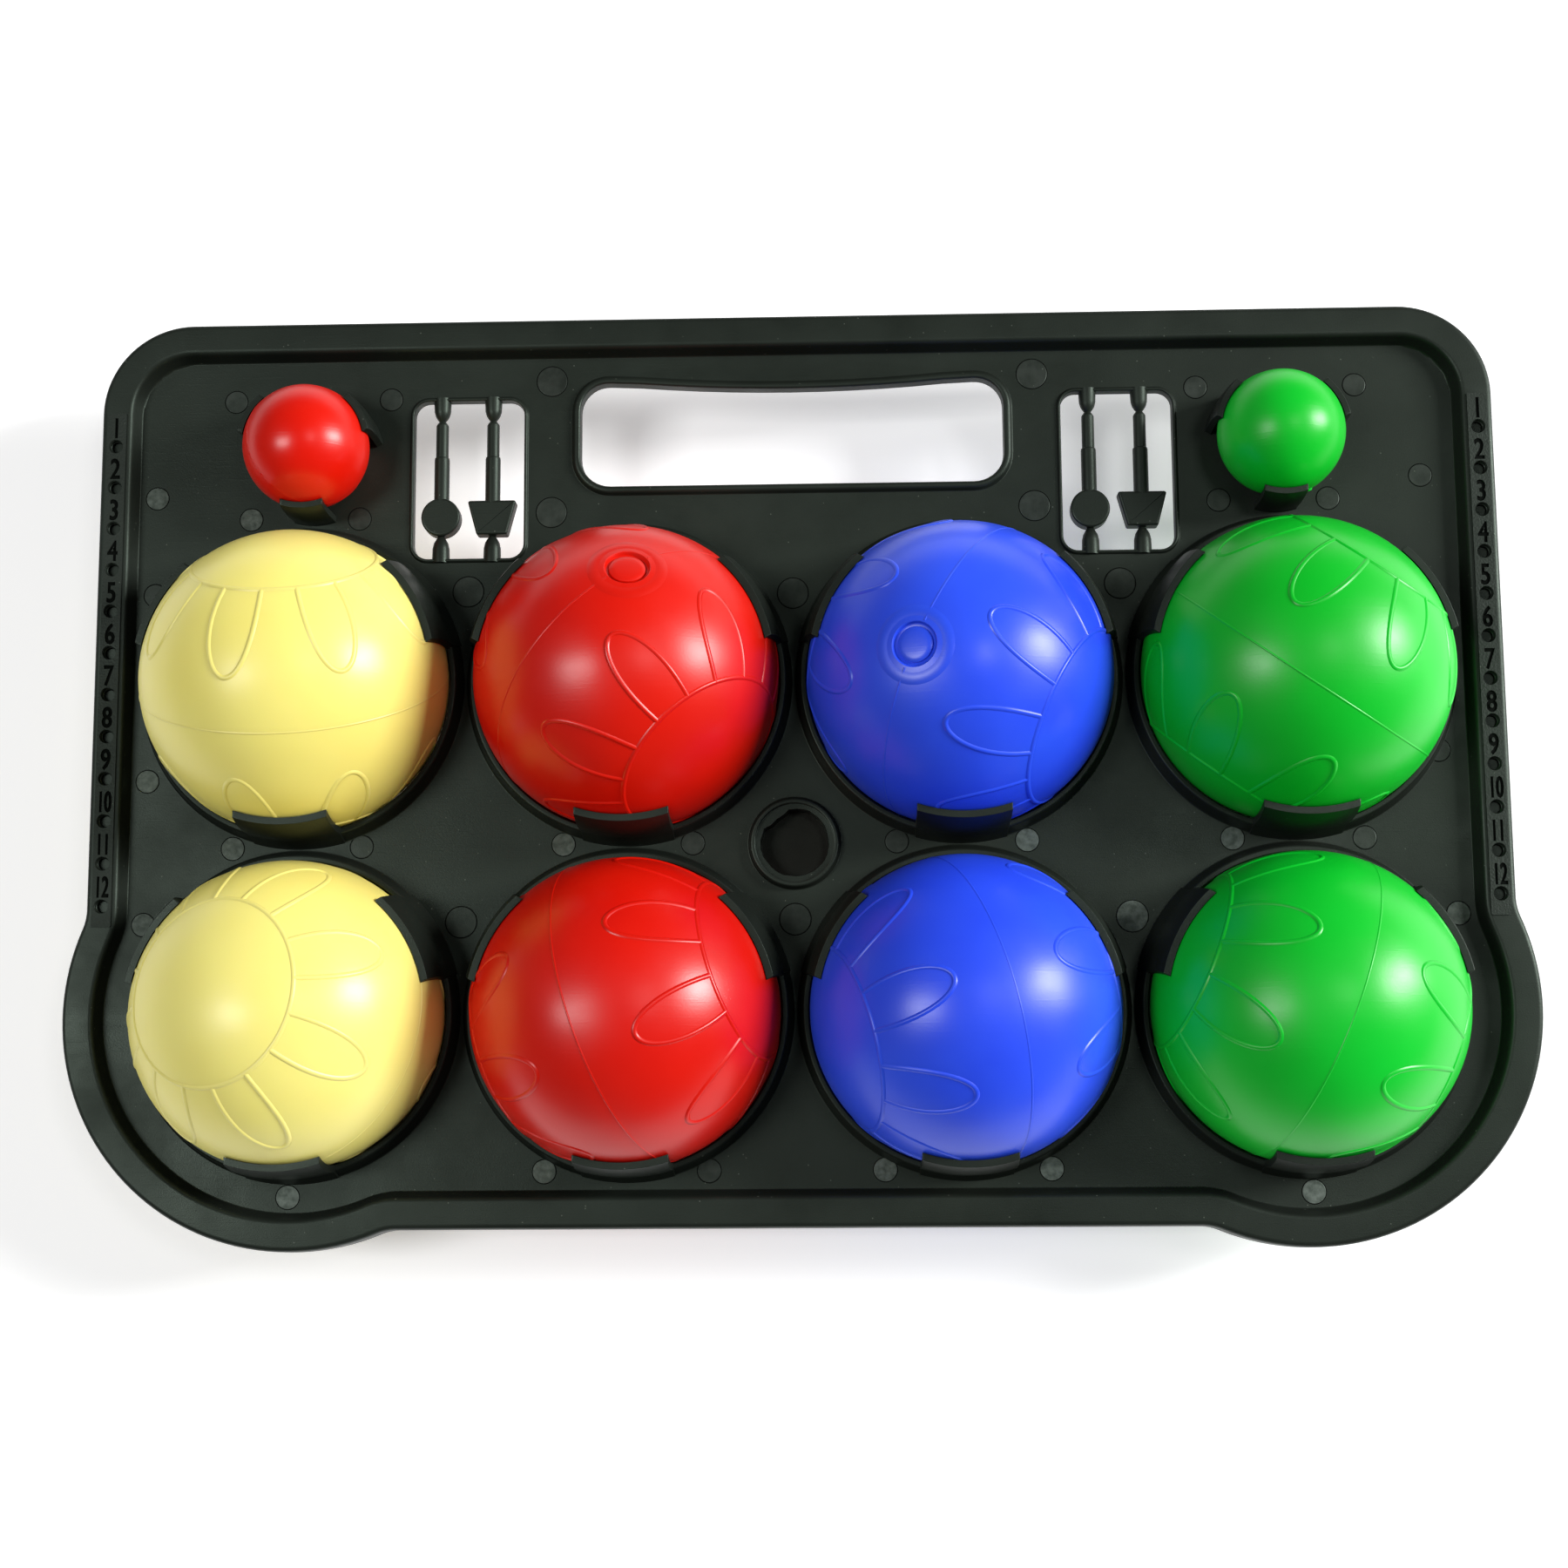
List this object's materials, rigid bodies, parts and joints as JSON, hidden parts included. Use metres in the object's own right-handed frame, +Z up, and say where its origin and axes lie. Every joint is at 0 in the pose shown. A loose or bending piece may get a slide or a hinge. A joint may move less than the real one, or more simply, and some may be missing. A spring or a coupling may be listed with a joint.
{
  "type": "bocce ball set",
  "caption": "Moulded carry tray with a handle slot, score strips and sprung seats that hold large balls, small jacks and score markers.",
  "frame": {"origin": "middle of the overall box, level with the lowest point of the balls", "axes": "+X along the rows of balls, +Y towards the handle, +Z up out of the tray's front"},
  "size_m": [0.4328, 0.2795, 0.09],
  "materials": {
    "tray_black": "black injection moulded plastic, fine grain",
    "marker_black": "black injection moulded plastic",
    "ball_yellow": "blow moulded, satin gloss",
    "ball_red": "blow moulded, satin gloss",
    "ball_blue": "blow moulded, satin gloss",
    "ball_green": "blow moulded, satin gloss",
    "water": "clear water"
  },
  "bodies": {
    "tray": {"carry_tray": "tray_black", "clips_yellow_top": "tray_black", "clips_red_top": "tray_black", "clips_blue_top": "tray_black", "clips_green_top": "tray_black", "clips_yellow_bottom": "tray_black", "clips_red_bottom": "tray_black", "clips_blue_bottom": "tray_black", "clips_green_bottom": "tray_black", "clips_red_jack": "tray_black", "clips_green_jack": "tray_black"},
    "filled_ball_yellow_top": {"ball_yellow_top": "ball_yellow", "plug_yellow_top": "ball_yellow", "water_yellow_top": "water"},
    "filled_ball_red_top": {"ball_red_top": "ball_red", "plug_red_top": "ball_red", "water_red_top": "water"},
    "filled_ball_blue_top": {"ball_blue_top": "ball_blue", "plug_blue_top": "ball_blue", "water_blue_top": "water"},
    "filled_ball_green_top": {"ball_green_top": "ball_green", "plug_green_top": "ball_green", "water_green_top": "water"},
    "filled_ball_yellow_bottom": {"ball_yellow_bottom": "ball_yellow", "plug_yellow_bottom": "ball_yellow", "water_yellow_bottom": "water"},
    "filled_ball_red_bottom": {"ball_red_bottom": "ball_red", "plug_red_bottom": "ball_red", "water_red_bottom": "water"},
    "filled_ball_blue_bottom": {"ball_blue_bottom": "ball_blue", "plug_blue_bottom": "ball_blue", "water_blue_bottom": "water"},
    "filled_ball_green_bottom": {"ball_green_bottom": "ball_green", "plug_green_bottom": "ball_green", "water_green_bottom": "water"},
    "small_red_jack": {"jack_red": "ball_red"},
    "small_green_jack": {"jack_green": "ball_green"},
    "round_marker_left": {"marker_round_left": "marker_black"},
    "round_marker_right": {"marker_round_right": "marker_black"},
    "tapered_marker_left": {"marker_tapered_left": "marker_black"},
    "tapered_marker_right": {"marker_tapered_right": "marker_black"}
  },
  "joints": [
    {"name": "lift_ball_yellow_top", "type": "slide", "parent": "tray", "child": "filled_ball_yellow_top", "axis": [0, 0, 1], "range_m": [0, 0.095], "deforming": ["clips_yellow_top"]},
    {"name": "lift_ball_red_top", "type": "slide", "parent": "tray", "child": "filled_ball_red_top", "axis": [0, 0, 1], "range_m": [0, 0.095], "deforming": ["clips_red_top"]},
    {"name": "lift_ball_blue_top", "type": "slide", "parent": "tray", "child": "filled_ball_blue_top", "axis": [0, 0, 1], "range_m": [0, 0.095], "deforming": ["clips_blue_top"]},
    {"name": "lift_ball_green_top", "type": "slide", "parent": "tray", "child": "filled_ball_green_top", "axis": [0, 0, 1], "range_m": [0, 0.095], "deforming": ["clips_green_top"]},
    {"name": "lift_ball_yellow_bottom", "type": "slide", "parent": "tray", "child": "filled_ball_yellow_bottom", "axis": [0, 0, 1], "range_m": [0, 0.095], "deforming": ["clips_yellow_bottom"]},
    {"name": "lift_ball_red_bottom", "type": "slide", "parent": "tray", "child": "filled_ball_red_bottom", "axis": [0, 0, 1], "range_m": [0, 0.095], "deforming": ["clips_red_bottom"]},
    {"name": "lift_ball_blue_bottom", "type": "slide", "parent": "tray", "child": "filled_ball_blue_bottom", "axis": [0, 0, 1], "range_m": [0, 0.095], "deforming": ["clips_blue_bottom"]},
    {"name": "lift_ball_green_bottom", "type": "slide", "parent": "tray", "child": "filled_ball_green_bottom", "axis": [0, 0, 1], "range_m": [0, 0.095], "deforming": ["clips_green_bottom"]},
    {"name": "lift_jack_red", "type": "slide", "parent": "tray", "child": "small_red_jack", "axis": [0, 0, 1], "range_m": [0, 0.062], "deforming": ["clips_red_jack"]},
    {"name": "lift_jack_green", "type": "slide", "parent": "tray", "child": "small_green_jack", "axis": [0, 0, 1], "range_m": [0, 0.062], "deforming": ["clips_green_jack"]},
    {"name": "snap_out_round_left", "type": "slide", "parent": "tray", "child": "round_marker_left", "axis": [0, 0, 1], "range_m": [0, 0.06]},
    {"name": "snap_out_round_right", "type": "slide", "parent": "tray", "child": "round_marker_right", "axis": [0, 0, 1], "range_m": [0, 0.06]},
    {"name": "snap_out_tapered_left", "type": "slide", "parent": "tray", "child": "tapered_marker_left", "axis": [0, 0, 1], "range_m": [0, 0.06]},
    {"name": "snap_out_tapered_right", "type": "slide", "parent": "tray", "child": "tapered_marker_right", "axis": [0, 0, 1], "range_m": [0, 0.06]}
  ]
}
